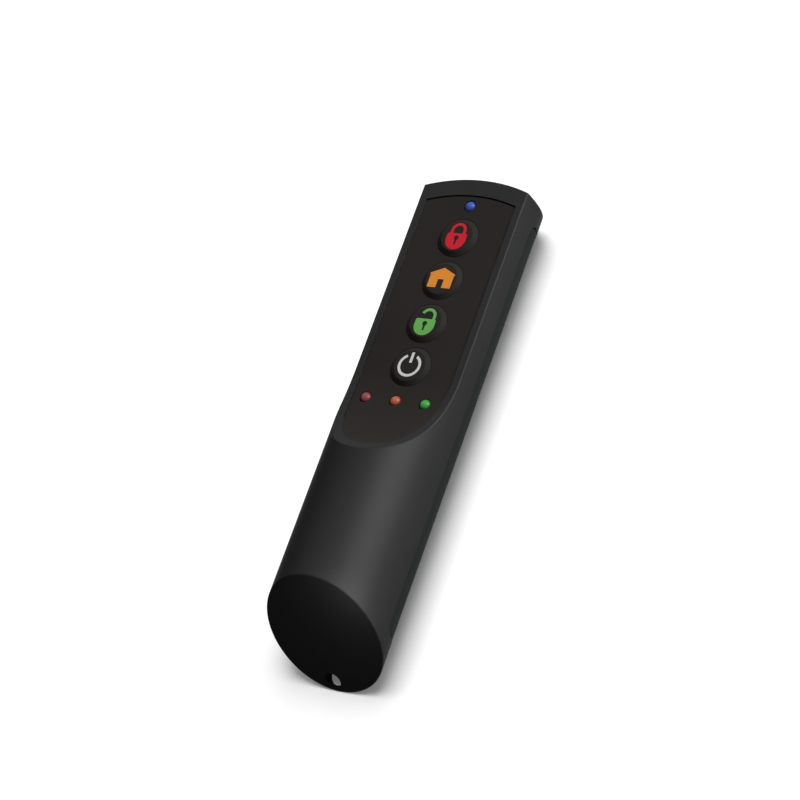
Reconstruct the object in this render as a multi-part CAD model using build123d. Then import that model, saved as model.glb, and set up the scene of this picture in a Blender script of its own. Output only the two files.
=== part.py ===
from build123d import *
import math
import os

os.makedirs("parts", exist_ok=True)

# The fob is a round bar that lies on its back. X runs across it, Y along it towards the blue lamp, Z up.
# The origin is under the middle of the bar, on the surface that it lies on. All sizes are millimetres.

# Body
body_radius = 15.15
body_length = 127.5
wall = 2.0
top_end_radius = 43.0
edge_round = 0.35
cut_lean = 28.0
foot_flat_depth = 0.1

# Flat face, and the scoop that brings it up to the round handle
flat_rise = 5.0
scoop_radius = 35.2
scoop_past_last_key = 1.95

# Control panel in its recess
rim_width = 1.9
rim_at_top = 4.75
panel_step = 0.3
panel_thickness = 1.0
panel_side_gap = 0.06
panel_top_gap = 0.3
floor_thickness = 1.4

# Keys
key_radius = 5.2
key_pitch = 11.85
key_count = 4
first_key_from_end = 16.35
key_rise = 0.9
key_bevel = 1.1
key_round = 0.5
key_clearance = 0.12
key_travel = 0.6
key_flange_width = 0.5
key_flange_thickness = 0.7
key_flange_gap = 0.15
mark_depth = 0.3
mark_proud = 0.04

# Key marks
lock_width = 5.4
lock_height = 4.45
lock_corner = 0.5
shackle_width = 4.1
shackle_bar = 0.75
shackle_leg = 1.2
free_end_turn = 160.0
open_shackle_inset = 0.35
keyhole_radius = 0.65
keyhole_slot = 0.55
keyhole_drop = 1.25
keyhole_length = 1.85
house_width = 6.7
house_wall_width = 6.3
house_eaves = 3.85
house_roof = 1.6
house_fascia = 0.35
house_rise = 0.25
door_width = 1.6
door_height = 2.3
power_radius = 3.05
power_line = 0.68
power_gap_turn = 56.0
power_bar_length = 2.75
power_bar_above = 0.4

# Lamps
lamp_radius = 1.5
lamp_length = 5.3
lamp_flange_width = 0.4
lamp_flange_thickness = 1.0
lamp_proud = 0.65
lamp_clearance = 0.1
status_lamp_past_last_key = 9.5
status_lamp_from_edge = 4.3
status_lamp_shift = -0.45
blue_lamp_from_end = 7.3
lead_radius = 0.25
lead_pitch = 2.54
lead_hole_clearance = 0.1
lead_tail = 1.0

# Circuit board and its switches
board_thickness = 1.6
board_side_gap = 1.2
board_past_status_lamps = 1.05
board_from_end = 4.55
board_corner = 2.0
switch_side = 6.0
switch_height = 3.4
plunger_radius = 1.75
plunger_clearance = 0.05
plunger_stem = 3.0
plunger_spare = 0.2
radio_size = (12.0, 14.0, 2.2)
shield_round = 0.5
chip_size = (7.0, 7.0, 1.0)
chip_from_board_end = 8.3
crystal_size = (3.2, 8.0, 2.4)
crystal_x = 5.0
crystal_from_board_end = 9.2
capacitor_size = (1.6, 3.2, 1.2)
capacitor_pitch = 3.4
capacitor_count = 3
capacitor_x = -3.0
capacitor_from_board_end = 12.6
antenna_thickness = 0.4
antenna_drop = 3.2
antenna_width = 2.0
antenna_from_side = 2.27
antenna_from_board_end = 2.2

# Rear cover
seam_drop = 0.5
cover_from_low_end = 11.55
cover_from_high_end = 7.35
cover_corner = 3.5
cover_inset = 0.12
seam_gap = 0.15
end_gap = 0.35
tongue_half_width = 5.0
tongue_reach = 2.0
tongue_thickness = 1.5
tongue_clearance = 0.15
pry_ball = 0.9
pry_depth = 0.55
pry_drop = 7.9

# Screws
screw_from_board_side = 1.8
screw_radius = 1.0
screw_end_gap = 1.0
screw_head_radius = 1.9
screw_head_height = 1.3
screw_head_clearance = 0.2
screw_clearance = 0.15
pilot_clearance = 0.02
post_radius = 2.6
screw_head_sink = 0.6
pilot_spare = 0.5
drive_width = 0.5
drive_depth = 0.6

# Battery door
door_from_inner_side = 3.5
door_from_cover_end = 2.7
door_past_tray = 0.4
door_corner = 3.0
door_gap = 0.15
door_thickness = 1.0
door_ledge = 1.2
door_ledge_gap = 0.05
hook_half_width = 4.0
hook_reach = 0.5
hook_thickness = 1.0
hook_web = 1.1
hook_gap = 0.2
hook_swing_gap = 0.45
nail_groove_radius = 5.0
nail_groove_depth = 0.45
nail_groove_length = 9.0
nail_groove_inset = 4.5

# Battery bay
cell_to_cover = 1.08
cells_apart = 0.2
spring_length = 1.9
nub_radius = 1.9
nub_length = 1.0
cell_clearance = 0.15
tray_from_cover_end = 2.2
tray_past_status_lamps = 2.15
tray_end_wall = 1.4
tray_gap = 0.1
tray_to_ceiling = 0.48
tray_skirt = 3.5
tray_roof = 1.6
contact_thickness = 0.3
contact_low_drop = 2.8
contact_side = 1.2
contact_middle_gap = 2.5
dimple_radius = 1.5
dimple_height = 0.3
spring_base_radius = 3.4
spring_tip_radius = 2.4
spring_wire = 0.5
tail_width = 2.0
tail_reach = 0.7
tail_clearance = 0.1

# Lanyard hole through the thin lip of the slanted end
lanyard_radius = 2.25
lanyard_x = -1.4
lanyard_height = 2.8
lanyard_lean = 55.0

# One overrun for all cuts
overrun = 4.0

# Heights and places that follow from these
axis_height = body_radius - foot_flat_depth
low_end = -body_length / 2
high_end = body_length / 2
flat_height = axis_height + flat_rise
crown_height = axis_height + body_radius
panel_radius = body_radius - rim_width
panel_top = flat_height - panel_step
recess_depth = panel_step + panel_thickness
panel_half_width = math.sqrt(panel_radius ** 2 - (flat_rise - panel_step) ** 2)
ceiling_depth = recess_depth + floor_thickness
ceiling_height = flat_height - ceiling_depth
inner_radius = body_radius - wall
cover_radius = body_radius - cover_inset
seam_height = axis_height - seam_drop
key_top = panel_top + key_rise
flange_top = ceiling_height - key_flange_gap
flange_bottom = flange_top - key_flange_thickness
board_top = flange_bottom - key_travel - plunger_spare - switch_height
board_bottom = board_top - board_thickness
plunger_bore = plunger_radius + plunger_clearance
lean_rise = math.tan(math.radians(cut_lean))

# Places along the bar, each from the one that it keeps to
first_key_y = high_end - first_key_from_end
key_ys = [first_key_y - key_pitch * i for i in range(key_count)]
scoop_start = key_ys[-1] - scoop_past_last_key
status_lamp_y = key_ys[-1] - status_lamp_past_last_key
status_lamp_pitch = panel_half_width - status_lamp_from_edge
blue_lamp_y = high_end - blue_lamp_from_end
board_low_y = status_lamp_y - board_past_status_lamps
board_high_y = high_end - board_from_end
antenna_y = board_high_y - antenna_from_board_end
radio_y = (key_ys[1] + key_ys[2]) / 2
chip_y = board_low_y + chip_from_board_end
crystal_place = (crystal_x, board_high_y - crystal_from_board_end)
capacitor_y = board_high_y - capacitor_from_board_end
cover_low_y = low_end + cover_from_low_end
cover_high_y = high_end - cover_from_high_end
tray_low_y = cover_low_y + tray_from_cover_end
tray_high_y = status_lamp_y - tray_past_status_lamps
door_low_y = cover_low_y + door_from_cover_end
door_high_y = tray_high_y + door_past_tray

# Widths that follow from the round inside of the case
board_half_width = math.sqrt(inner_radius ** 2 - (axis_height - board_bottom) ** 2) - board_side_gap
door_half_width = inner_radius - door_from_inner_side
antenna_low = board_bottom - antenna_drop
antenna_half_span = math.sqrt(inner_radius ** 2 - (axis_height - antenna_low) ** 2) - antenna_from_side

# Each screw's head sinks below the cover's skin at its own outer edge
screw_x = board_half_width - screw_from_board_side
screw_ys = ((key_ys[0] + key_ys[1]) / 2, (key_ys[2] + key_ys[3]) / 2)
screw_places = [(side * screw_x, y) for y in screw_ys for side in (-1, 1)]
skin_at_head = axis_height - math.sqrt(cover_radius ** 2 - (screw_x + screw_head_radius) ** 2)
screw_seat = skin_at_head + screw_head_sink + screw_head_height
screw_length = ceiling_height - screw_seat - screw_end_gap

# The tray's roof keeps clear of the ceiling that the scoop leaves over the tray's high end
scoop_reach = scoop_radius + ceiling_depth
ceiling_at_tray = flat_height + scoop_radius - math.sqrt(scoop_reach ** 2 - (scoop_start - tray_high_y) ** 2)
roof_room = ceiling_at_tray - tray_to_ceiling - tray_roof - cell_clearance - axis_height

# The cells are as thick and as long as their bay takes, between the cover's inside and that roof
half_apart = cells_apart / 2
cell_reach = inner_radius - cell_to_cover
cell_room = half_apart - roof_room + cell_reach
cell_radius = math.sqrt(cell_room ** 2 + cell_reach ** 2 - half_apart ** 2 - roof_room ** 2) - cell_room
cell_height = axis_height + roof_room - cell_radius
cell_offset = cell_radius + half_apart
channel_radius = cell_radius + cell_clearance
bay_length = tray_high_y - tray_low_y - 2 * (tray_end_wall + contact_thickness)
cell_length = bay_length - dimple_height - spring_length


def slab(x_range, y_range, z_range):
    """A block between the ends given for X, Y and Z."""
    spans = (x_range, y_range, z_range)
    middle = [sum(span) / 2 for span in spans]
    size = [span[1] - span[0] for span in spans]
    return Pos(*middle) * Box(*size)


def bar(radius, y_range, x=0.0, z=axis_height):
    """A round bar along Y, on the body's axis unless told otherwise."""
    length = y_range[1] - y_range[0]
    return Pos(x, sum(y_range) / 2, z) * Rot(90, 0, 0) * Cylinder(radius, length)


def post(radius, x, y, z_range):
    """A round post that stands along Z."""
    return Pos(x, y, sum(z_range) / 2) * Cylinder(radius, z_range[1] - z_range[0])


def side_prism(edges, half_width):
    """A solid that has one side view all across the body."""
    return extrude(Plane.YZ * make_face(edges), amount=half_width, both=True)


def outline_plate(outline, z_range):
    """A flat outline raised from one height to another."""
    return Pos(0, 0, z_range[0]) * extrude(outline, amount=z_range[1] - z_range[0])


def under(depth):
    """All that lies deeper than this below the flat face, its scoop and the round handle."""
    reach = scoop_radius + depth
    level = crown_height + overrun
    turn = math.acos((flat_height + scoop_radius - level) / reach)
    scoop_end = (scoop_start - reach * math.sin(turn), level)
    middle = (
        scoop_start - reach * math.sin(turn / 2),
        flat_height + scoop_radius - reach * math.cos(turn / 2),
    )
    flat_end = (scoop_start, flat_height - depth)
    edges = Polyline(
        scoop_end,
        (low_end - overrun, level),
        (low_end - overrun, -overrun),
        (high_end + overrun, -overrun),
        (high_end + overrun, flat_height - depth),
        flat_end,
    ).edges() + [ThreePointArc(flat_end, middle, scoop_end)]
    return side_prism(edges, body_radius + overrun)


def behind_top_end(inset):
    """All that lies behind the curved top end, or behind a curve set in from it."""
    radius = top_end_radius - inset
    middle_y = high_end - top_end_radius
    tall = (-overrun, crown_height + overrun)
    wide = (-body_radius - overrun, body_radius + overrun)
    return post(radius, 0, middle_y, tall) + slab(wide, (low_end - overrun, middle_y), tall)


def past_slant(inset):
    """All that lies beyond the slanted lower end, or beyond a plane set in from it."""
    shift = inset / math.cos(math.radians(cut_lean))
    top = crown_height + overrun
    edges = Polyline(
        (low_end + shift - overrun * lean_rise, -overrun),
        (low_end + shift + top * lean_rise, top),
        (high_end + overrun, top),
        (high_end + overrun, -overrun),
        close=True,
    ).edges()
    return side_prism(edges, body_radius + overrun)


def cover_region(share):
    """The stretch of the underside that the rear cover takes, less this share of its gaps."""
    y_range = (cover_low_y + share * end_gap, cover_high_y - share * end_gap)
    z_range = (-overrun - cover_corner, seam_height - share * seam_gap)
    width = y_range[1] - y_range[0]
    height = z_range[1] - z_range[0]
    outline = Plane.YZ * RectangleRounded(width, height, cover_corner)
    prism = extrude(outline, amount=body_radius + overrun, both=True)
    return Pos(0, sum(y_range) / 2, sum(z_range) / 2) * prism


def pry_notch(side):
    """A ball-shaped nick at the cover's top end, where a nail or blade lifts it."""
    reach = body_radius - pry_depth + pry_ball
    x = side * math.sqrt(reach * reach - pry_drop * pry_drop)
    return Pos(x, cover_high_y, axis_height - pry_drop) * Sphere(pry_ball)


def tube(outer, inner, y_range):
    """A length of pipe round the body's axis."""
    return bar(outer, y_range) - bar(inner, (y_range[0] - overrun, y_range[1] + overrun))


def key_holes(radius):
    """Upright holes for the four keys."""
    tall = (ceiling_height - overrun, crown_height)
    return [post(radius, 0, y, tall) for y in key_ys]


# Lamps stand in a row across the panel's lower end, with one alone at its top
lamp_places = {
    "lamp_red": (status_lamp_shift - status_lamp_pitch, status_lamp_y),
    "lamp_amber": (status_lamp_shift, status_lamp_y),
    "lamp_green": (status_lamp_shift + status_lamp_pitch, status_lamp_y),
    "lamp_blue": (0.0, blue_lamp_y),
}


def panel_height_at(y):
    """Height of the panel's face, which climbs with the scoop."""
    back = max(scoop_start - y, 0.0)
    radius = scoop_radius + panel_step
    return flat_height + scoop_radius - math.sqrt(radius * radius - back * back)


def lamp_holes(radius):
    """Upright holes for the four lamps."""
    tall = (ceiling_height - overrun, crown_height)
    return [post(radius, x, y, tall) for x, y in lamp_places.values()]


def make_front_housing():
    """The upper half of the bar with both ends, which are flat underneath so that the bar lies still."""
    whole_y = (low_end - overrun, high_end + overrun)
    outer = bar(body_radius, whole_y) & behind_top_end(0) & past_slant(0) & under(0)
    outer = fillet(outer.edges(), edge_round)
    outer -= slab((-body_radius, body_radius), whole_y, (-overrun, 0))
    inner = bar(inner_radius, (cover_low_y + wall, whole_y[1]))
    cavity = inner & behind_top_end(wall) & past_slant(wall) & under(ceiling_depth)
    recess = bar(panel_radius + panel_side_gap, whole_y) & behind_top_end(rim_at_top - panel_top_gap)
    housing = outer - cavity - cover_region(0) - (recess - under(recess_depth))
    for x, y in screw_places:
        housing += post(post_radius, x, y, (board_top, ceiling_height + floor_thickness / 2))
        pilot_top = screw_seat + screw_length + pilot_spare
        housing -= post(screw_radius + pilot_clearance, x, y, (board_top - overrun, pilot_top))
    for hole in key_holes(key_radius + key_clearance) + lamp_holes(lamp_radius + lamp_clearance):
        housing -= hole
    for side in (-1, 1):
        housing -= pry_notch(side)
    return housing - lanyard_hole() - tongue(tongue_clearance)


def lanyard_hole():
    """A leaning hole through the lip, from the slanted face to the underside."""
    y = low_end + lanyard_height * lean_rise
    hole = Rot(lanyard_lean, 0, 0) * Cylinder(lanyard_radius, 2 * axis_height)
    return Pos(lanyard_x, y, lanyard_height) * hole


def tongue(clearance):
    """The tongue at the cover's low end, which slips into the front housing."""
    skin = tube(cover_radius - clearance_under_skin() + clearance,
                cover_radius - clearance_under_skin() - tongue_thickness - clearance,
                (cover_low_y - tongue_reach - clearance, cover_low_y + wall))
    half = tongue_half_width + clearance
    return skin & slab((-half, half), (low_end, 0), (-overrun, axis_height))


def clearance_under_skin():
    """How deep below the cover's skin its tongue starts."""
    return body_radius - inner_radius - tongue_thickness / 2


def make_rear_cover():
    """The lower half of the bar, held by a tongue at one end and four screws."""
    long_y = (cover_low_y, cover_high_y)
    cover = tube(cover_radius, inner_radius, long_y) & cover_region(1)
    solid_bar = bar((cover_radius + inner_radius) / 2, long_y)
    for x, y in screw_places:
        cover += post(post_radius, x, y, (0, board_bottom)) & solid_bar
    for x, y in screw_places:
        cover -= post(screw_radius + screw_clearance, x, y, (-overrun, board_bottom + overrun))
        cover -= post(screw_head_radius + screw_head_clearance, x, y, (-overrun, screw_seat))
    cover -= door_prism(0) - bar(cover_radius - door_thickness - door_ledge_gap, long_y)
    cover -= door_prism(door_ledge)
    for side in (-1, 1):
        cover -= pry_notch(side)
    return cover + tongue(0)


def door_prism(inset):
    """The battery door's outline, less an inset all round, through the underside."""
    y_range = (door_low_y + inset, door_high_y - inset)
    outline = RectangleRounded(2 * (door_half_width - inset), y_range[1] - y_range[0], door_corner - inset)
    middle = Pos(0, sum(y_range) / 2, 0)
    return outline_plate(middle * outline, (-overrun, axis_height / 2))


def make_battery_door():
    """A curved lid that hooks in at its low end and rocks out about its outer edge."""
    span = (door_low_y, door_high_y)
    door = tube(cover_radius, cover_radius - door_thickness, span) & door_prism(door_gap)
    web_low = door_low_y + door_ledge + hook_gap
    hook_top = inner_radius - hook_swing_gap
    hook = tube(hook_top, hook_top - hook_thickness, (door_low_y - hook_reach, web_low + hook_web))
    web = tube(cover_radius - door_thickness / 2, hook_top - hook_thickness / 2, (web_low, web_low + hook_web))
    width = slab((-hook_half_width, hook_half_width), (low_end, 0), (0, axis_height))
    door += (hook + web) & width
    groove_z = axis_height - cover_radius + nail_groove_depth - nail_groove_radius
    groove = Pos(0, door_high_y - nail_groove_inset, groove_z)
    groove *= Rot(0, 90, 0) * Cylinder(nail_groove_radius, nail_groove_length)
    return door - groove


def make_control_panel():
    """The thin face plate, which follows the flat face and its scoop."""
    whole_y = (low_end, high_end)
    plate = bar(panel_radius, whole_y) & behind_top_end(rim_at_top) & under(panel_step)
    plate -= under(recess_depth)
    for hole in key_holes(key_radius + key_clearance) + lamp_holes(lamp_radius + lamp_clearance):
        plate -= hole
    return plate


def lock_body():
    """The padlock's body with its keyhole left open, standing on the middle of its own foot."""
    body = Pos(0, lock_height / 2) * RectangleRounded(lock_width, lock_height, lock_corner)
    belly = Pos(0, lock_width / 2) * Circle(lock_width / 2)
    body = (body & (belly + Pos(0, lock_height) * Rectangle(lock_width, lock_height)))
    eye_y = lock_height - keyhole_drop
    body -= Pos(0, eye_y) * Circle(keyhole_radius)
    return body - Pos(0, eye_y - keyhole_length / 2) * Rectangle(keyhole_slot, keyhole_length)


def shackle():
    """The padlock's bow on two legs, with its foot at zero."""
    radius = shackle_width / 2
    height = shackle_leg + radius
    bow = Pos(0, shackle_leg) * (Circle(radius) - Circle(radius - shackle_bar))
    bow &= Pos(0, shackle_leg + radius / 2) * Rectangle(shackle_width, radius)
    legs = Pos(0, shackle_leg / 2) * Rectangle(shackle_width, shackle_leg)
    legs -= Pos(0, shackle_leg / 2) * Rectangle(shackle_width - 2 * shackle_bar, height)
    return bow + legs


def closed_lock_mark():
    """A shut padlock."""
    overlap = shackle_bar / 2
    mark = lock_body() + Pos(0, lock_height - overlap) * shackle()
    return Pos(0, -(lock_height + shackle_leg + shackle_width / 2 - overlap) / 2) * mark


def open_lock_mark():
    """The same padlock with its bow let go at the left, where it ends in the air."""
    overlap = shackle_bar / 2
    reach = 2 * shackle_width
    turn = math.radians(free_end_turn)
    gap = Polyline(
        (0, shackle_leg),
        (reach * math.cos(turn), shackle_leg + reach * math.sin(turn)),
        (-reach, -reach),
        (0, -reach),
        close=True,
    )
    bow = shackle() - make_face(gap.edges())
    aside = (lock_width - shackle_width) / 2 - open_shackle_inset
    mark = lock_body() + Pos(aside, lock_height - overlap) * bow
    return Pos(0, -(lock_height + shackle_leg + shackle_width / 2 - overlap) / 2) * mark


def house_mark():
    """A house with a shallow roof, short eaves and an open doorway."""
    half = house_width / 2
    wall_half = house_wall_width / 2
    height = house_eaves + house_roof
    outline = Polyline(
        (-wall_half, 0),
        (-wall_half, house_eaves - house_fascia),
        (-half, house_eaves - house_fascia),
        (-half, house_eaves),
        (0, height),
        (half, house_eaves),
        (half, house_eaves - house_fascia),
        (wall_half, house_eaves - house_fascia),
        (wall_half, 0),
        close=True,
    )
    house = make_face(outline.edges())
    house -= Pos(0, door_height / 2) * Rectangle(door_width, door_height)
    return Pos(0, house_rise - height / 2) * house


def power_mark():
    """The on and off sign: a ring that is open at the top, with an upright bar in the opening."""
    ring = Circle(power_radius) - Circle(power_radius - power_line)
    reach = 2 * power_radius
    half_turn = math.radians(power_gap_turn / 2)
    wedge = Polyline(
        (0, 0),
        (reach * math.sin(half_turn), reach * math.cos(half_turn)),
        (-reach * math.sin(half_turn), reach * math.cos(half_turn)),
        close=True,
    )
    ring -= make_face(wedge.edges())
    bar_top = power_radius + power_bar_above
    return ring + Pos(0, bar_top - power_bar_length / 2) * Rectangle(power_line, power_bar_length)


key_marks = {
    "lock": closed_lock_mark,
    "house": house_mark,
    "unlock": open_lock_mark,
    "power": power_mark,
}


def make_mark(draw, y):
    """A key's mark, moulded through its face."""
    return Pos(0, y, 0) * outline_plate(draw(), (key_top - mark_depth, key_top + mark_proud))


def make_key(mark, y):
    """A round key with a bevelled face and a flange that keeps it in."""
    shank = post(key_radius, 0, y, (flange_bottom, panel_top))
    face = Pos(0, y, (panel_top + key_top) / 2) * Cone(key_radius, key_radius - key_bevel, key_rise)
    face = fillet(face.edges().group_by(Axis.Z)[-1], key_round)
    flange = post(key_radius + key_flange_width, 0, y, (flange_bottom, flange_top))
    return shank + face + flange - mark


def make_plunger(y):
    """The part of a switch that the key pushes."""
    return post(plunger_radius, 0, y, (flange_bottom - plunger_stem, flange_bottom))


def make_switch_bodies():
    """The four switch housings that stand on the board."""
    half = switch_side / 2
    bore_bottom = flange_bottom - plunger_stem - key_travel - plunger_spare
    bodies = []
    for y in key_ys:
        body = slab((-half, half), (y - half, y + half), (board_top, board_top + switch_height))
        bodies.append(body - post(plunger_bore, 0, y, (bore_bottom, flange_bottom)))
    return Compound(children=[Part(b.wrapped) for b in bodies])


def lead_places():
    """Where the lamps' legs pass the board, with the height that each starts at."""
    for x, y in lamp_places.values():
        for side in (-1, 1):
            yield x + side * lead_pitch / 2, y, lamp_base(y)


def lamp_base(y):
    """Height of a lamp's lower face."""
    return panel_height_at(y) + lamp_proud - lamp_length


def make_lamp(x, y):
    """A round lamp with a domed head and a small flange."""
    base = lamp_base(y)
    head = base + lamp_length - lamp_radius
    lamp = post(lamp_radius, x, y, (base, head)) + Pos(x, y, head) * Sphere(lamp_radius)
    return lamp + post(lamp_radius + lamp_flange_width, x, y, (base, base + lamp_flange_thickness))


def make_lamp_legs():
    """Two thin legs for each lamp."""
    low = board_bottom - lead_tail
    legs = [post(lead_radius, x, y, (low, base)) for x, y, base in lead_places()]
    return Compound(children=[Part(leg.wrapped) for leg in legs])


def make_circuit_board():
    """The board, with holes for the screws and the lamps' legs."""
    y_range = (board_low_y, board_high_y)
    outline = RectangleRounded(2 * board_half_width, y_range[1] - y_range[0], board_corner)
    board = outline_plate(Pos(0, sum(y_range) / 2) * outline, (board_bottom, board_top))
    through = (board_bottom - overrun, board_top + overrun)
    for x, y in screw_places:
        board -= post(screw_radius + screw_clearance, x, y, through)
    for x, y, _ in lead_places():
        board -= post(lead_radius + lead_hole_clearance, x, y, through)
    return board


def under_board(size, x, y):
    """A block of this size, fixed under the board."""
    half_x = size[0] / 2
    half_y = size[1] / 2
    z_range = (board_bottom - size[2], board_bottom)
    return slab((x - half_x, x + half_x), (y - half_y, y + half_y), z_range)


def make_radio_module():
    """The radio in its tin shield."""
    radio = under_board(radio_size, 0, radio_y)
    return fillet(radio.edges().filter_by(Axis.Z), shield_round)


def make_board_parts():
    """The crystal and a row of capacitors."""
    crystal = under_board(crystal_size, *crystal_place)
    parts = [fillet(crystal.edges().filter_by(Axis.Z), crystal_size[0] / 3)]
    for i in range(capacitor_count):
        x = capacitor_x + (i - (capacitor_count - 1) / 2) * capacitor_pitch
        parts.append(under_board(capacitor_size, x, capacitor_y))
    return Compound(children=[Part(p.wrapped) for p in parts])


def make_antenna():
    """A bent metal strip across the board's top end."""
    y_range = (antenna_y - antenna_width / 2, antenna_y + antenna_width / 2)
    level = (antenna_low, antenna_low + antenna_thickness)
    strip = slab((-antenna_half_span, antenna_half_span), y_range, level)
    for side in (-1, 0):
        outer = side * (antenna_half_span - antenna_thickness)
        foot = (min(outer, outer - antenna_thickness), max(outer, outer - antenna_thickness))
        strip += slab(foot, y_range, (antenna_low, board_bottom))
    return strip


def tray_region(gap):
    """The space between the shells that the battery tray fills."""
    y_range = (tray_low_y, tray_high_y)
    z_range = (cell_height - tray_skirt, cell_height + channel_radius + tray_roof)
    wide = (-body_radius, body_radius)
    return bar(inner_radius - gap, y_range) & slab(wide, y_range, z_range)


def make_battery_tray():
    """An upside-down trough over two cells, open towards the battery door."""
    tray = tray_region(tray_gap)
    channel_y = (tray_low_y + tray_end_wall, tray_high_y - tray_end_wall)
    for side in (-1, 1):
        x = side * cell_offset
        tray -= bar(channel_radius, channel_y, x, cell_height)
        tray -= slab((x - channel_radius, x + channel_radius), channel_y, (0, cell_height))
        tray -= tail(side, tail_clearance)
    return tray


def tail(side, clearance):
    """The tail that takes a contact through the tray's end wall to the board."""
    x_range = (side * cell_offset - tail_width / 2 - clearance, side * cell_offset + tail_width / 2 + clearance)
    y_range = (tray_high_y - tray_end_wall - contact_thickness, board_low_y + tail_reach)
    return slab(x_range, y_range, (board_top - clearance, board_top + contact_thickness + clearance))


def cell_ends(side):
    """Where a cell's low end and high end lie. The left one has its nub up, the right one down."""
    low_face = tray_low_y + tray_end_wall + contact_thickness
    high_face = tray_high_y - tray_end_wall - contact_thickness
    if side < 0:
        return high_face - dimple_height - cell_length, high_face - dimple_height
    return low_face + dimple_height, low_face + dimple_height + cell_length


def make_battery_cells():
    """Two cells side by side, turned opposite ways."""
    cells = []
    for side in (-1, 1):
        low, high = cell_ends(side)
        can = (low, high - nub_length) if side < 0 else (low + nub_length, high)
        x = side * cell_offset
        cell = bar(cell_radius, can, x, cell_height) + bar(nub_radius, (low, high), x, cell_height)
        cells.append(Part((cell - rest_of_nub(side, low, high, x)).wrapped))
    return Compound(children=cells)


def rest_of_nub(side, low, high, x):
    """Nothing of the nub's bar stands out of the cell's flat end."""
    flat = (low - overrun, low) if side < 0 else (high, high + overrun)
    return bar(cell_radius, flat, x, cell_height)


def make_spring(side):
    """A tapered contact spring between its plate and the cell's flat end."""
    low, high = cell_ends(side)
    low_face = tray_low_y + tray_end_wall + contact_thickness
    high_face = tray_high_y - tray_end_wall - contact_thickness
    span = (low_face, low) if side < 0 else (high, high_face)
    length = span[1] - span[0]
    sleeve = Cone(spring_base_radius, spring_tip_radius, length)
    sleeve -= Cone(spring_base_radius - spring_wire, spring_tip_radius - spring_wire, length)
    turn = Rot(-90, 0, 0) if side < 0 else Rot(90, 0, 0)
    return Pos(side * cell_offset, sum(span) / 2, cell_height) * turn * sleeve


def make_dimple(side):
    """The raised spot that meets a cell's nub."""
    low, high = cell_ends(side)
    span = (high, high + dimple_height) if side < 0 else (low - dimple_height, low)
    return bar(dimple_radius, span, side * cell_offset, cell_height)


def make_bridge_contact():
    """The plate at the low end, which joins both cells."""
    outer = cell_offset + channel_radius - contact_side
    y_range = (tray_low_y + tray_end_wall, tray_low_y + tray_end_wall + contact_thickness)
    z_range = (cell_height - contact_low_drop, cell_height + contact_thickness)
    plate = slab((-outer, outer), y_range, z_range)
    return plate + make_spring(-1) + make_dimple(1)


def make_end_contact(side):
    """One plate at the high end, with its tail to the board."""
    outer = side * (cell_offset + channel_radius - contact_side)
    inner = side * contact_middle_gap
    y_range = (tray_high_y - tray_end_wall - contact_thickness, tray_high_y - tray_end_wall)
    z_range = (cell_height - contact_low_drop, board_top + contact_thickness)
    plate = slab((min(outer, inner), max(outer, inner)), y_range, z_range) + tail(side, 0)
    return plate + (make_dimple(side) if side < 0 else make_spring(side))


def make_case_screws():
    """Four screws up through the rear cover and the board."""
    screws = []
    for x, y in screw_places:
        screw = post(screw_radius, x, y, (screw_seat, screw_seat + screw_length))
        head = (screw_seat - screw_head_height, screw_seat)
        screw += post(screw_head_radius, x, y, head)
        for along, across in ((screw_head_radius, drive_width), (drive_width, screw_head_radius)):
            slot = (head[0] - overrun, head[0] + drive_depth)
            screw -= slab((x - along / 2, x + along / 2), (y - across / 2, y + across / 2), slot)
        screws.append(Part(screw.wrapped))
    return Compound(children=screws)


def save(name, shape):
    """Writes one piece under its own name."""
    export_step(shape, "parts/" + name + ".step")


save("front_housing", make_front_housing())
save("rear_cover", make_rear_cover())
save("battery_door", make_battery_door())
save("control_panel", make_control_panel())
for (name, draw), y in zip(key_marks.items(), key_ys):
    mark = make_mark(draw, y)
    save("mark_" + name, mark)
    save("key_" + name, make_key(mark, y))
    save("plunger_" + name, make_plunger(y))
save("switch_bodies", make_switch_bodies())
save("circuit_board", make_circuit_board())
for name, (x, y) in lamp_places.items():
    save(name, make_lamp(x, y))
save("lamp_legs", make_lamp_legs())
save("radio_module", make_radio_module())
save("controller_chip", under_board(chip_size, 0, chip_y))
save("board_parts", make_board_parts())
save("antenna", make_antenna())
save("battery_tray", make_battery_tray())
save("battery_cells", make_battery_cells())
save("bridge_contact", make_bridge_contact())
save("positive_contact", make_end_contact(-1))
save("negative_contact", make_end_contact(1))
save("case_screws", make_case_screws())
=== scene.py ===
import math

import bmesh
import bpy
from mathutils import Matrix, Vector


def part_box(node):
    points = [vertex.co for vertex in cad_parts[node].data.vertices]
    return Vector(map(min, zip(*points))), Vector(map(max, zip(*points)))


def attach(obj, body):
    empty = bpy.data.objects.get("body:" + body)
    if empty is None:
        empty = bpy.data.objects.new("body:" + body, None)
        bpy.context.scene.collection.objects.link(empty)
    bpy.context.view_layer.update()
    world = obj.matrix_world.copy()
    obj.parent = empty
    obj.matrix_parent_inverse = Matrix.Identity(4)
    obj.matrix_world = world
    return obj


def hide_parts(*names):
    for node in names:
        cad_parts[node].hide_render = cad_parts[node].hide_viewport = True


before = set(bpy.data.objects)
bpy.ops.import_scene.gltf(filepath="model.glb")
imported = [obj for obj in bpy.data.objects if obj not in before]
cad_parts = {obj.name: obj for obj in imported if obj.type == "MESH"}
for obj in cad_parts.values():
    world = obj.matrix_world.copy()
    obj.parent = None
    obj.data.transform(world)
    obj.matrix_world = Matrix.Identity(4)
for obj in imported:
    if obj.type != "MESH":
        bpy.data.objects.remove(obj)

bpy.context.scene.view_settings.view_transform = "Standard"

# Lengths are in millimetres where that reads better.
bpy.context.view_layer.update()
millimetre = 0.001

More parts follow.
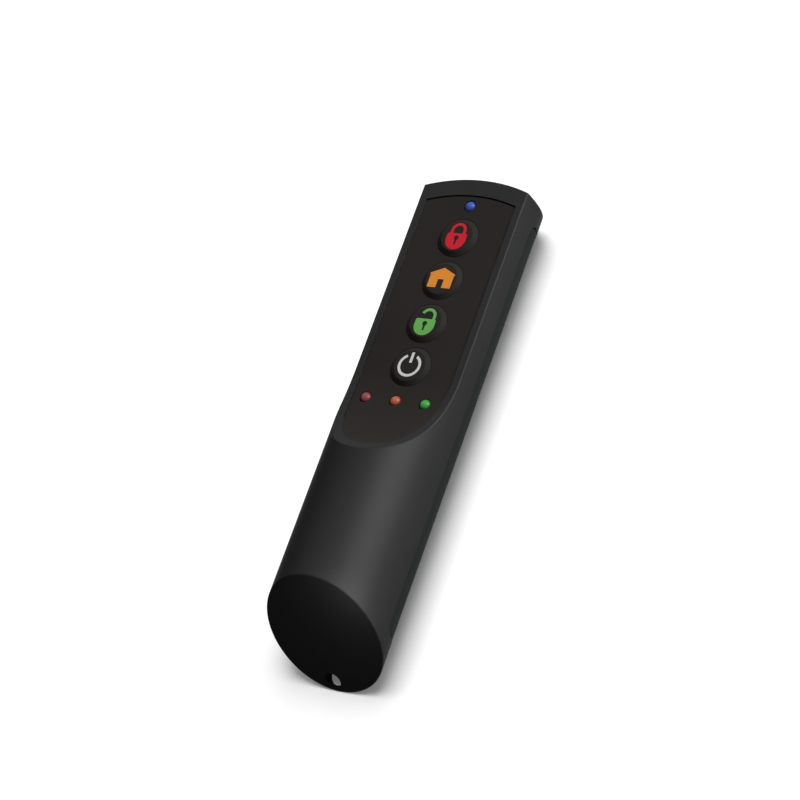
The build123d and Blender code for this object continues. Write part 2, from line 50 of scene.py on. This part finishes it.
# The camera stands in front of the slanted end, high on the keypad's right side, and is rolled
# so that the bar stands up in the picture.
azimuth = math.radians(54.496)
elevation = math.radians(51.806)
roll = math.radians(-40.56)
aim = Vector((0.50, 2.91, 20.03)) * millimetre
distance = 667.7 * millimetre
sideways = Vector((math.sin(azimuth), -math.cos(azimuth), 0))
back = math.cos(elevation) * sideways + math.sin(elevation) * Vector((0, 0, 1))
level = Vector((math.cos(azimuth), math.sin(azimuth), 0))
upright = back.cross(level)
right = math.cos(roll) * level + math.sin(roll) * upright
above = math.cos(roll) * upright - math.sin(roll) * level
camera_data = bpy.data.cameras.new("camera")
camera_data.sensor_width = 36
camera_data.lens = 128.16
camera_data.clip_start = 0.01
camera_data.clip_end = 20
camera = bpy.data.objects.new("camera", camera_data)
place = Matrix((right, above, back)).transposed().to_4x4()
place.translation = aim + distance * back
camera.matrix_world = place
bpy.context.scene.collection.objects.link(camera)
bpy.context.scene.camera = camera

# A plain white floor lies under the bar, in a white surround. The camera, reflections and glass see both as
# white, and the light that they give the bar is weak. Seen from below, the floor is clear.
def sees_background(tree):
    """One for a ray from the camera, off a gloss or through glass, and nothing for a diffuse one."""
    ray = tree.nodes.new("ShaderNodeLightPath")
    so_far = ray.outputs["Is Camera Ray"]
    for kind in ("Is Glossy Ray", "Is Transmission Ray"):
        either = tree.nodes.new("ShaderNodeMath")
        either.operation = "MAXIMUM"
        tree.links.new(so_far, either.inputs[0])
        tree.links.new(ray.outputs[kind], either.inputs[1])
        so_far = either.outputs["Value"]
    return so_far


floor_half_side = 3.0
# Within this reach of the bar the floor's glow is dimmed to the least glow: a painted contact shadow.
painted_shadow_reach = 12 * millimetre
glow_in_painted_shadow = 0.1
open_glow = 0.24
glow_spread_start = 0.13
glow_spread_end = 0.4
floor_mesh = bmesh.new()
bmesh.ops.create_grid(floor_mesh, x_segments=1, y_segments=1, size=floor_half_side)
floor_data = bpy.data.meshes.new("floor")
floor_mesh.to_mesh(floor_data)
floor_mesh.free()
floor = bpy.data.objects.new("floor", floor_data)
bpy.context.scene.collection.objects.link(floor)
floor_finish = bpy.data.materials.new("floor_paper")
floor_finish.use_nodes = True
tree = floor_finish.node_tree
paper = tree.nodes["Principled BSDF"]
shade = tree.nodes.new("ShaderNodeBsdfDiffuse")
shade.inputs["Color"].default_value = (0.12, 0.12, 0.12, 1)
# Ambient occlusion dims the floor's glow next to the bar, a painted contact shadow on top of the shadow
# lamp's real one.
painted_contact_shadow = tree.nodes.new("ShaderNodeAmbientOcclusion")
painted_contact_shadow.inputs["Distance"].default_value = painted_shadow_reach
painted_shadow_glow = tree.nodes.new("ShaderNodeMapRange")
painted_shadow_glow.inputs["From Min"].default_value = 0.15
painted_shadow_glow.inputs["From Max"].default_value = 0.95
painted_shadow_glow.inputs["To Min"].default_value = glow_in_painted_shadow
painted_shadow_glow.inputs["To Max"].default_value = open_glow
tree.links.new(painted_contact_shadow.outputs["AO"], painted_shadow_glow.inputs["Value"])
paper.inputs["Base Color"].default_value = (0.8, 0.8, 0.8, 1)
paper.inputs["Roughness"].default_value = 0.9
paper.inputs["Specular IOR Level"].default_value = 0.1
glow = tree.nodes.new("ShaderNodeEmission")
where = tree.nodes.new("ShaderNodeTexCoord")
away = tree.nodes.new("ShaderNodeVectorMath")
away.operation = "LENGTH"
tree.links.new(where.outputs["Object"], away.inputs[0])
spread = tree.nodes.new("ShaderNodeMapRange")
spread.inputs["From Min"].default_value = glow_spread_start
spread.inputs["From Max"].default_value = glow_spread_end
tree.links.new(away.outputs["Value"], spread.inputs["Value"])
strongest = tree.nodes.new("ShaderNodeMath")
strongest.operation = "MAXIMUM"
tree.links.new(painted_shadow_glow.outputs["Result"], strongest.inputs[0])
tree.links.new(spread.outputs["Result"], strongest.inputs[1])
tree.links.new(strongest.outputs["Value"], glow.inputs["Strength"])
lift = tree.nodes.new("ShaderNodeAddShader")
pick = tree.nodes.new("ShaderNodeMixShader")
tree.links.new(paper.outputs["BSDF"], lift.inputs[0])
tree.links.new(glow.outputs["Emission"], lift.inputs[1])
tree.links.new(sees_background(tree), pick.inputs["Fac"])
tree.links.new(shade.outputs["BSDF"], pick.inputs[1])
tree.links.new(lift.outputs["Shader"], pick.inputs[2])
face = tree.nodes.new("ShaderNodeNewGeometry")
clear = tree.nodes.new("ShaderNodeBsdfTransparent")
one_way = tree.nodes.new("ShaderNodeMixShader")
tree.links.new(face.outputs["Backfacing"], one_way.inputs["Fac"])
tree.links.new(pick.outputs["Shader"], one_way.inputs[1])
tree.links.new(clear.outputs["BSDF"], one_way.inputs[2])
tree.links.new(one_way.outputs["Shader"], tree.nodes["Material Output"].inputs["Surface"])
floor_data.materials.append(floor_finish)

fill_strength = 0.045
world = bpy.data.worlds.new("surround")
bpy.context.scene.world = world
world.use_nodes = True
tree = world.node_tree
fill = tree.nodes["Background"]
fill.inputs["Color"].default_value = (1, 1, 1, 1)
fill.inputs["Strength"].default_value = fill_strength
white = tree.nodes.new("ShaderNodeBackground")
white.inputs["Color"].default_value = (1, 1, 1, 1)
pick = tree.nodes.new("ShaderNodeMixShader")
tree.links.new(sees_background(tree), pick.inputs["Fac"])
tree.links.new(fill.outputs["Background"], pick.inputs[1])
tree.links.new(white.outputs["Background"], pick.inputs[2])
tree.links.new(pick.outputs["Shader"], tree.nodes["World Output"].inputs["Surface"])


# The main lamp stands high at the keypad's right, towards the blue lamp's end, and a gloss lamp beside it
# puts the soft streak on the shells. One lights the floor alone and gives it its soft shadow, and one shines
# up through the floor, so that the underside and the battery bay show from below. The last one is small and
# dim, and shines across the slanted face from its upper right edge.
def soft_lamp(name, towards, away, side, power, about=aim):
    """A square lamp that hangs away from a place in the direction given, and faces it."""
    data = bpy.data.lights.new(name, "AREA")
    data.size = side
    data.energy = power
    lamp = bpy.data.objects.new(name, data)
    direction = Vector(towards).normalized()
    turn = direction.to_track_quat("Z", "Y").to_matrix().to_4x4()
    turn.translation = about + direction * away
    lamp.matrix_world = turn
    bpy.context.scene.collection.objects.link(lamp)
    return lamp


def reach_group(lamp, objects, state):
    """A collection that names these objects alone, or all but these, for a lamp's light or shadow."""
    group = bpy.data.collections.new("reach_of_" + lamp.name)
    for held in objects:
        group.objects.link(held)
    for entry in group.collection_objects:
        entry.light_linking.link_state = state
    return group


studio_distance = 0.9
main_lamp = soft_lamp("main_lamp", (0.68, 0.5, 0.58), studio_distance, side=0.3, power=8.2)
main_lamp.light_linking.receiver_collection = reach_group(main_lamp, [floor], "EXCLUDE")
shadow_lamp = soft_lamp("shadow_lamp", (0.16, 0.38, 1.0), studio_distance, side=0.6, power=11.0)
shadow_lamp.light_linking.receiver_collection = reach_group(shadow_lamp, [floor], "INCLUDE")
gloss_lamp = soft_lamp("gloss_lamp", (0.74, 0.45, 0.62), studio_distance, side=0.85, power=400.0)
gloss_lamp.visible_diffuse = False
shells = [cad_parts[name] for name in ("front_housing", "rear_cover", "battery_door")]
gloss_lamp.light_linking.receiver_collection = reach_group(gloss_lamp, shells, "INCLUDE")
under_lamp = soft_lamp("under_lamp", (-0.4, 0.1, -0.9), studio_distance, side=0.5, power=11.0)
under_lamp.visible_glossy = False
under_lamp.light_linking.receiver_collection = reach_group(under_lamp, [floor], "EXCLUDE")
under_lamp.light_linking.blocker_collection = reach_group(under_lamp, [floor], "EXCLUDE")
slant = math.radians(35)
face_out = Vector((0, -math.cos(slant), math.sin(slant)))
face_up = Vector((0, math.sin(slant), math.cos(slant)))
face_middle = Vector((0, -52.4, 15.05)) * millimetre
before_face = face_middle + 13 * millimetre * face_out
upper_right = Vector((1, 0, 0)) + face_up
end_lamp = soft_lamp("end_lamp", upper_right, 21 * millimetre, side=0.01, power=0.0013, about=before_face)
end_lamp.visible_camera = False
end_lamp.visible_glossy = False
end_lamp.light_linking.receiver_collection = reach_group(end_lamp, shells[:1], "INCLUDE")


# The front housing is the upper half of the case with both ends, moulded in black ABS with a fine
# spark-eroded skin. Its grain is a group that every moulded and plated finish here shares.
def moulded_texture():
    """A group that gives a moulded skin's fine grain, its slow changes of tone, and faint rub marks."""
    group = bpy.data.node_groups.new("moulded_texture", "ShaderNodeTree")
    sockets = group.interface
    for name, start in (("Grain", 3500.0), ("Cloud", 45.0)):
        socket = sockets.new_socket(name=name, in_out="INPUT", socket_type="NodeSocketFloat")
        socket.default_value = start
    for name in ("Height", "Tone", "Rub"):
        sockets.new_socket(name=name, in_out="OUTPUT", socket_type="NodeSocketFloat")
    add = group.nodes.new
    link = group.links.new
    given = add("NodeGroupInput")
    result = add("NodeGroupOutput")
    where = add("ShaderNodeTexCoord")
    grain = add("ShaderNodeTexNoise")
    grain.inputs["Detail"].default_value = 2
    grain.inputs["Roughness"].default_value = 0.6
    link(where.outputs["Object"], grain.inputs["Vector"])
    link(given.outputs["Grain"], grain.inputs["Scale"])
    link(grain.outputs["Fac"], result.inputs["Height"])
    cloud = add("ShaderNodeTexNoise")
    cloud.inputs["Detail"].default_value = 3
    link(where.outputs["Object"], cloud.inputs["Vector"])
    link(given.outputs["Cloud"], cloud.inputs["Scale"])
    clear = add("ShaderNodeMapRange")
    clear.inputs["From Min"].default_value = 0.35
    clear.inputs["From Max"].default_value = 0.65
    link(cloud.outputs["Fac"], clear.inputs["Value"])
    link(clear.outputs["Result"], result.inputs["Tone"])
    along = add("ShaderNodeMapping")
    along.inputs["Scale"].default_value = (1, 0.06, 1)
    along.inputs["Rotation"].default_value = (0, 0, 0.25)
    link(where.outputs["Object"], along.inputs["Vector"])
    rub = add("ShaderNodeTexNoise")
    rub.inputs["Scale"].default_value = 900
    rub.inputs["Detail"].default_value = 2
    link(along.outputs["Vector"], rub.inputs["Vector"])
    thin = add("ShaderNodeMapRange")
    thin.inputs["From Min"].default_value = 0.66
    thin.inputs["From Max"].default_value = 0.8
    link(rub.outputs["Fac"], thin.inputs["Value"])
    link(thin.outputs["Result"], result.inputs["Rub"])
    return group


texture = moulded_texture()


def moulded_finish(name, dark, light, rough, grain, depth, gloss=0.3):
    """A moulded plastic or rubber: two close tones, a fine grain and a few faint rub marks."""
    finish = bpy.data.materials.new(name)
    finish.use_nodes = True
    tree = finish.node_tree
    shader = tree.nodes["Principled BSDF"]
    shader.inputs["Specular IOR Level"].default_value = gloss
    skin = tree.nodes.new("ShaderNodeGroup")
    skin.node_tree = texture
    skin.inputs["Grain"].default_value = grain
    tones = tree.nodes.new("ShaderNodeMix")
    tones.data_type = "RGBA"
    tones.inputs["A"].default_value = (*dark, 1)
    tones.inputs["B"].default_value = (*light, 1)
    tree.links.new(skin.outputs["Tone"], tones.inputs["Factor"])
    tree.links.new(tones.outputs["Result"], shader.inputs["Base Color"])
    sheen = tree.nodes.new("ShaderNodeMapRange")
    sheen.inputs["To Min"].default_value = rough
    sheen.inputs["To Max"].default_value = rough - 0.12
    tree.links.new(skin.outputs["Rub"], sheen.inputs["Value"])
    tree.links.new(sheen.outputs["Result"], shader.inputs["Roughness"])
    bump = tree.nodes.new("ShaderNodeBump")
    bump.inputs["Strength"].default_value = 0.6
    bump.inputs["Distance"].default_value = depth
    tree.links.new(skin.outputs["Height"], bump.inputs["Height"])
    tree.links.new(bump.outputs["Normal"], shader.inputs["Normal"])
    return finish


def dress(node, finish):
    """The CAD node shows this material all over."""
    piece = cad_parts[node]
    if not piece.material_slots:
        piece.data.materials.append(finish)
    for held in piece.material_slots:
        held.material = finish


shell_tones = ((0.037, 0.037, 0.037), (0.041, 0.041, 0.041))
shell_black = moulded_finish("shell_black", *shell_tones, 0.45, 3500, 0.00001, gloss=0.004)
dress("front_housing", shell_black)

# The rear cover and its battery door are moulded from a slightly greener black.
cover_tones = ((0.028, 0.032, 0.03), (0.031, 0.035, 0.033))
cover_black = moulded_finish("cover_black", *cover_tones, 0.55, 3500, 0.00001, gloss=0.002)
dress("rear_cover", cover_black)
dress("battery_door", cover_black)

# The control panel is a thin plate with a finer, duller and warmer skin than the case.
panel_tones = ((0.0305, 0.0275, 0.025), (0.0335, 0.03, 0.0275))
panel_black = moulded_finish("panel_black", *panel_tones, 0.65, 5000, 0.000006, gloss=0.02)
dress("control_panel", panel_black)

# The four keys are soft black rubber, each with its coloured mark moulded through its face.
key_tones = ((0.028, 0.026, 0.024), (0.031, 0.029, 0.027))
key_rubber = moulded_finish("key_rubber", *key_tones, 0.6, 4200, 0.000006, gloss=0.03)
mark_colours = {
    "lock": (0.66, 0.012, 0.03),
    "house": (0.8, 0.29, 0.035),
    "unlock": (0.14, 0.45, 0.1),
    "power": (0.78, 0.77, 0.75),
}
paler_share = 1.15
for name, colour in mark_colours.items():
    dress("key_" + name, key_rubber)
    paler = tuple(min(1, paler_share * part) for part in colour)
    dress("mark_" + name, moulded_finish("mark_" + name, colour, paler, 0.5, 4200, 0.000004))


# Each lamp is a round 3 mm light-emitting diode, cast in tinted resin. Its middle is painted paler and
# given a faint emission: a painted glow and reflection, standing in for light thrown back inside the dome.
def resin_with_painted_glow(name, body, painted_glow_tone, painted_glow_share):
    """A tinted cast resin with a painted glow: paler and given a little emission towards the middle of its
    dome.
    """
    finish = bpy.data.materials.new(name)
    finish.use_nodes = True
    tree = finish.node_tree
    shader = tree.nodes["Principled BSDF"]
    shader.inputs["Roughness"].default_value = 0.38
    shader.inputs["Specular IOR Level"].default_value = 0.35
    shader.inputs["Emission Strength"].default_value = painted_glow_share
    low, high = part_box(name)
    middle = (low + high) / 2
    where = tree.nodes.new("ShaderNodeTexCoord")
    centre = tree.nodes.new("ShaderNodeMapping")
    centre.inputs["Location"].default_value = (-middle.x, -middle.y, -high.z)
    ball = tree.nodes.new("ShaderNodeVectorMath")
    ball.operation = "LENGTH"
    # The pale tone fades out from the dome's middle: painted glow.
    painted_glow_falloff = tree.nodes.new("ShaderNodeMapRange")
    painted_glow_falloff.inputs["From Min"].default_value = 0.0004
    painted_glow_falloff.inputs["From Max"].default_value = 0.0016
    painted_glow_falloff.inputs["To Min"].default_value = 1
    painted_glow_falloff.inputs["To Max"].default_value = 0
    tones = tree.nodes.new("ShaderNodeMix")
    tones.data_type = "RGBA"
    tones.inputs["A"].default_value = (*body, 1)
    tones.inputs["B"].default_value = (*painted_glow_tone, 1)
    tree.links.new(where.outputs["Object"], centre.inputs["Vector"])
    tree.links.new(centre.outputs["Vector"], ball.inputs[0])
    tree.links.new(ball.outputs["Value"], painted_glow_falloff.inputs["Value"])
    tree.links.new(painted_glow_falloff.outputs["Result"], tones.inputs["Factor"])
    tree.links.new(tones.outputs["Result"], shader.inputs["Base Color"])
    tree.links.new(tones.outputs["Result"], shader.inputs["Emission Color"])
    return finish


# How strongly each lamp's painted glow shines, in its own tone.
painted_lamp_glow_share = 0.12
# Each lamp's resin tone, and the paler tone of its painted glow in the middle.
lamp_body_and_painted_glow_tones = {
    "lamp_red": ((0.12, 0.012, 0.018), (0.3, 0.055, 0.06)),
    "lamp_amber": ((0.2, 0.03, 0.012), (0.52, 0.13, 0.06)),
    "lamp_green": ((0.01, 0.12, 0.015), (0.05, 0.4, 0.06)),
    "lamp_blue": ((0.012, 0.03, 0.16), (0.04, 0.1, 0.52)),
}
for name, (body, painted_glow_tone) in lamp_body_and_painted_glow_tones.items():
    dress(name, resin_with_painted_glow(name, body, painted_glow_tone, painted_lamp_glow_share))


# The metal pieces inside: tinned lamp legs, nickel contacts, zinc-plated screws and the radio's can.
def metal_finish(name, colour, rough, grain):
    """A plated metal with fine marks of its making."""
    finish = bpy.data.materials.new(name)
    finish.use_nodes = True
    tree = finish.node_tree
    shader = tree.nodes["Principled BSDF"]
    shader.inputs["Metallic"].default_value = 1
    skin = tree.nodes.new("ShaderNodeGroup")
    skin.node_tree = texture
    skin.inputs["Grain"].default_value = grain
    tones = tree.nodes.new("ShaderNodeMix")
    tones.data_type = "RGBA"
    tones.inputs["A"].default_value = (*[0.85 * part for part in colour], 1)
    tones.inputs["B"].default_value = (*colour, 1)
    tree.links.new(skin.outputs["Tone"], tones.inputs["Factor"])
    tree.links.new(tones.outputs["Result"], shader.inputs["Base Color"])
    worn = tree.nodes.new("ShaderNodeMapRange")
    worn.inputs["To Min"].default_value = rough
    worn.inputs["To Max"].default_value = rough + 0.15
    tree.links.new(skin.outputs["Height"], worn.inputs["Value"])
    tree.links.new(worn.outputs["Result"], shader.inputs["Roughness"])
    return finish


zinc_plate = metal_finish("zinc_plate", (0.6, 0.6, 0.58), 0.32, 1500)
tinned_wire = metal_finish("tinned_wire", (0.68, 0.68, 0.68), 0.25, 1200)
can_steel = metal_finish("can_steel", (0.62, 0.62, 0.6), 0.28, 800)
dress("case_screws", zinc_plate)
dress("lamp_legs", tinned_wire)
dress("radio_module", can_steel)
dress("board_parts", can_steel)

# The two 10.5 by 44.5 mm dry cells lie side by side, turned opposite ways. Each is a steel can in a dark
# film that is shrunk over its ends. A nub in a ring of card is at one end, and a bare plate at the other.
cell_low, cell_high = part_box("battery_cells")
cell_radius = (cell_high.z - cell_low.z) / 2
cell_height = (cell_high.z + cell_low.z) / 2
cell_x = cell_high.x - cell_radius
cell_stagger = 1.6 * millimetre
cell_length = cell_high.y - cell_low.y - cell_stagger
nub_radius = 1.9 * millimetre
shoulder = cell_length - 1.0 * millimetre
film = 0.12 * millimetre
cell_outline = [
    (0, 0),
    (cell_radius - 8 * film, 0),
    (cell_radius - 7 * film, 2 * film),
    (cell_radius - 6 * film, 2 * film),
    (cell_radius - 5 * film, 0),
    (cell_radius - 2 * film, 0),
    (cell_radius - film / 2, film),
    (cell_radius, 3 * film),
    (cell_radius, shoulder - 3 * film),
    (cell_radius - film / 2, shoulder - film),
    (cell_radius - 2 * film, shoulder),
    (cell_radius - 5 * film, shoulder),
    (cell_radius - 6 * film, shoulder - film),
    (nub_radius + 5 * film, shoulder - film),
    (nub_radius + 4 * film, shoulder),
    (nub_radius, shoulder),
    (nub_radius, cell_length - 2 * film),
    (nub_radius - 2 * film, cell_length),
    (0, cell_length),
]


def spin_outline(body, outline, foot, direction, steps):
    """Adds the solid that an outline of (radius, height) points makes when it is spun about Y at its foot."""
    places = [(foot.x + radius, foot.y + height * direction, foot.z) for radius, height in outline]
    corners = [body.verts.new(place) for place in places]
    lines = [body.edges.new(pair) for pair in zip(corners, corners[1:])]
    bmesh.ops.spin(body, geom=corners + lines, cent=foot, axis=(0, 1, 0), angle=2 * math.pi, steps=steps,
                   use_merge=True)


def finish_piece(body, name, finishes, node):
    """The mesh becomes a piece on the housing, in the CAD node's stead."""
    bmesh.ops.remove_doubles(body, verts=body.verts, dist=0.000005)
    bmesh.ops.recalc_face_normals(body, faces=body.faces)
    data = bpy.data.meshes.new(name)
    body.to_mesh(data)
    body.free()
    for finish in finishes:
        data.materials.append(finish)
    piece = bpy.data.objects.new(name, data)
    bpy.context.scene.collection.objects.link(piece)
    piece.data.set_sharp_from_angle(angle=math.radians(35))
    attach(piece, "housing")
    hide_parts(node)


film_tones = ((0.03, 0.035, 0.045), (0.04, 0.045, 0.055))
cell_film = moulded_finish("cell_film", *film_tones, 0.32, 2500, 0.000003, gloss=0.5)
cell_steel = metal_finish("cell_steel", (0.66, 0.65, 0.62), 0.3, 900)
cell_card = moulded_finish("cell_card", (0.5, 0.48, 0.42), (0.58, 0.56, 0.5), 0.8, 2000, 0.000005, gloss=0.2)
left_plate = Vector((-cell_x, cell_high.y - cell_length, cell_height))
right_plate = Vector((cell_x, cell_low.y + cell_length, cell_height))
cell_steps = 64
cells = bmesh.new()
spin_outline(cells, cell_outline, left_plate, 1, cell_steps)
spin_outline(cells, cell_outline, right_plate, -1, cell_steps)
for face in cells.faces:
    face.smooth = True
    centre = face.calc_center_median()
    across = math.hypot(abs(centre.x) - cell_x, centre.z - cell_height)
    from_middle = (centre.y - (cell_low.y + cell_high.y) / 2) * (1 if centre.x < 0 else -1)
    on_card = from_middle > 0 and across > nub_radius + 2 * film
    face.material_index = 0 if across > cell_radius - 5.5 * film else 2 if on_card else 1
finish_piece(cells, "dry_cells", [cell_film, cell_steel, cell_card], "battery_cells")

# Three nickel-plated spring steel contacts grip the cells: a bridge at the low end, and two at the high end
# with tails to the board. A cell's flat end meets a tapered coil, and its nub meets a dimple in the strip.
bright_nickel = metal_finish("bright_nickel", (0.72, 0.69, 0.63), 0.18, 900)
sheet = 0.3 * millimetre
wire = 0.25 * millimetre
coil_radii = (3.1 * millimetre, 2.2 * millimetre)
coil_turns = 3
steps_a_turn = 28
dimple_radius = 1.5 * millimetre
dimple_height = 0.3 * millimetre
dimple_shares = ((0, 1), (0.5, 0.97), (0.8, 0.7), (1, 0), (0, 0))
dimple_steps = 32
tail_half_width = 1.0 * millimetre


def add_strip(body, low, high):
    """A sheet metal strip between two corners, with softened edges."""
    made = bmesh.ops.create_cube(body, size=1)["verts"]
    size = Vector(high) - Vector(low)
    bmesh.ops.scale(body, verts=made, vec=size)
    bmesh.ops.translate(body, verts=made, vec=(Vector(low) + Vector(high)) / 2)
    edges = [edge for edge in body.edges if edge.verts[0] in made]
    bmesh.ops.bevel(body, geom=edges, offset=sheet / 4, segments=2, profile=0.5, affect="EDGES", material=-1)


def add_coil(body, foot, tip):
    """A tapered coil of wire from its foot on the strip to its tip on the cell, where it closes in a ring."""
    path = bpy.data.curves.new("coil", "CURVE")
    path.dimensions = "3D"
    path.bevel_depth = wire
    path.bevel_resolution = 3
    path.use_fill_caps = True
    line = path.splines.new("POLY")
    line.points.add(steps_a_turn * (coil_turns + 1) - 1)
    start = wire if tip.y > foot.y else -wire
    for i, point in enumerate(line.points):
        share = min(1, i / (steps_a_turn * coil_turns))
        turn = 2 * math.pi * i / steps_a_turn
        radius = coil_radii[0] + (coil_radii[1] - coil_radii[0]) * share
        y = foot.y + start + (tip.y - foot.y - 2 * start) * share
        point.co = (foot.x + radius * math.cos(turn), y, foot.z + radius * math.sin(turn), 1)
    holder = bpy.data.objects.new("coil", path)
    coil = bpy.data.meshes.new_from_object(holder)
    body.from_mesh(coil)
    bpy.data.objects.remove(holder)
    bpy.data.curves.remove(path)
    bpy.data.meshes.remove(coil)


def add_dimple(body, foot, direction):
    """A low round dimple that stands up from the strip at its foot."""
    outline = [(across * dimple_radius, up * dimple_height) for across, up in dimple_shares]
    spin_outline(body, outline, foot, direction, dimple_steps)


low_face = cell_low.y - dimple_height
high_face = cell_high.y + dimple_height
strip_corner, tail_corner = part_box("positive_contact")
strip_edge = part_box("bridge_contact")[1].x
bridge_low = (-strip_edge, low_face - sheet, strip_corner.z)
bridge_high = (strip_edge, low_face, cell_height + sheet)
bridge = bmesh.new()
add_strip(bridge, bridge_low, bridge_high)
add_coil(bridge, Vector((-cell_x, low_face, cell_height)), left_plate)
add_dimple(bridge, Vector((cell_x, low_face, cell_height)), 1)
finish_piece(bridge, "bridge_strip", [bright_nickel], "bridge_contact")
for side, name in ((-1, "positive"), (1, "negative")):
    strip = bmesh.new()
    inner, outer = sorted((side * -tail_corner.x, side * strip_edge))
    add_strip(strip, (inner, high_face, strip_corner.z), (outer, high_face + sheet, tail_corner.z))
    tail = side * cell_x
    tail_low = (tail - tail_half_width, high_face, tail_corner.z - sheet)
    tail_high = (tail + tail_half_width, tail_corner.y, tail_corner.z)
    add_strip(strip, tail_low, tail_high)
    foot = Vector((tail, high_face, cell_height))
    if side < 0:
        add_dimple(strip, foot, -1)
    else:
        add_coil(strip, foot, right_plate)
    finish_piece(strip, name + "_strip", [bright_nickel], name + "_contact")

# The board is lacquered green over its copper tracks, which run along it and across it in broken lines.
# Its chip and switches are moulded black, and the plungers are white.
lacquer_tones = ((0.01, 0.09, 0.03), (0.015, 0.12, 0.04))
track_tone = (0.05, 0.24, 0.08)
board_green = moulded_finish("board_green", *lacquer_tones, 0.3, 2500, 0.000004, gloss=0.5)
tree = board_green.node_tree
place = tree.nodes.new("ShaderNodeTexCoord")
so_far = tree.nodes["Principled BSDF"].inputs["Base Color"].links[0].from_socket
for axis, seed in (("X", 3.0), ("Y", 8.0)):
    lines = tree.nodes.new("ShaderNodeTexWave")
    lines.bands_direction = axis
    lines.inputs["Scale"].default_value = 210
    tree.links.new(place.outputs["Object"], lines.inputs["Vector"])
    shift = tree.nodes.new("ShaderNodeMapping")
    shift.inputs["Location"].default_value = (seed, seed, seed)
    tree.links.new(place.outputs["Object"], shift.inputs["Vector"])
    patches = tree.nodes.new("ShaderNodeTexVoronoi")
    patches.distance = "CHEBYCHEV"
    patches.inputs["Scale"].default_value = 190
    tree.links.new(shift.outputs["Vector"], patches.inputs["Vector"])
    shown = tree.nodes.new("ShaderNodeMath")
    shown.operation = "MULTIPLY"
    for given, lower, slot in ((lines.outputs["Fac"], 0.8, 0), (patches.outputs["Color"], 0.55, 1)):
        cut = tree.nodes.new("ShaderNodeMath")
        cut.operation = "GREATER_THAN"
        cut.inputs[1].default_value = lower
        tree.links.new(given, cut.inputs[0])
        tree.links.new(cut.outputs["Value"], shown.inputs[slot])
    tracks = tree.nodes.new("ShaderNodeMix")
    tracks.data_type = "RGBA"
    tracks.inputs["B"].default_value = (*track_tone, 1)
    tree.links.new(shown.outputs["Value"], tracks.inputs["Factor"])
    tree.links.new(so_far, tracks.inputs["A"])
    so_far = tracks.outputs["Result"]
tree.links.new(so_far, tree.nodes["Principled BSDF"].inputs["Base Color"])
dress("circuit_board", board_green)
dress("antenna", bright_nickel)
part_black = moulded_finish("part_black", (0.02, 0.02, 0.02), (0.028, 0.028, 0.028), 0.5, 4000, 0.000005)
dress("controller_chip", part_black)
dress("switch_bodies", part_black)
dress("battery_tray", part_black)
plunger_white = moulded_finish("plunger_white", (0.6, 0.6, 0.57), (0.68, 0.68, 0.65), 0.5, 4000, 0.000004)
for name in mark_colours:
    dress("plunger_" + name, plunger_white)
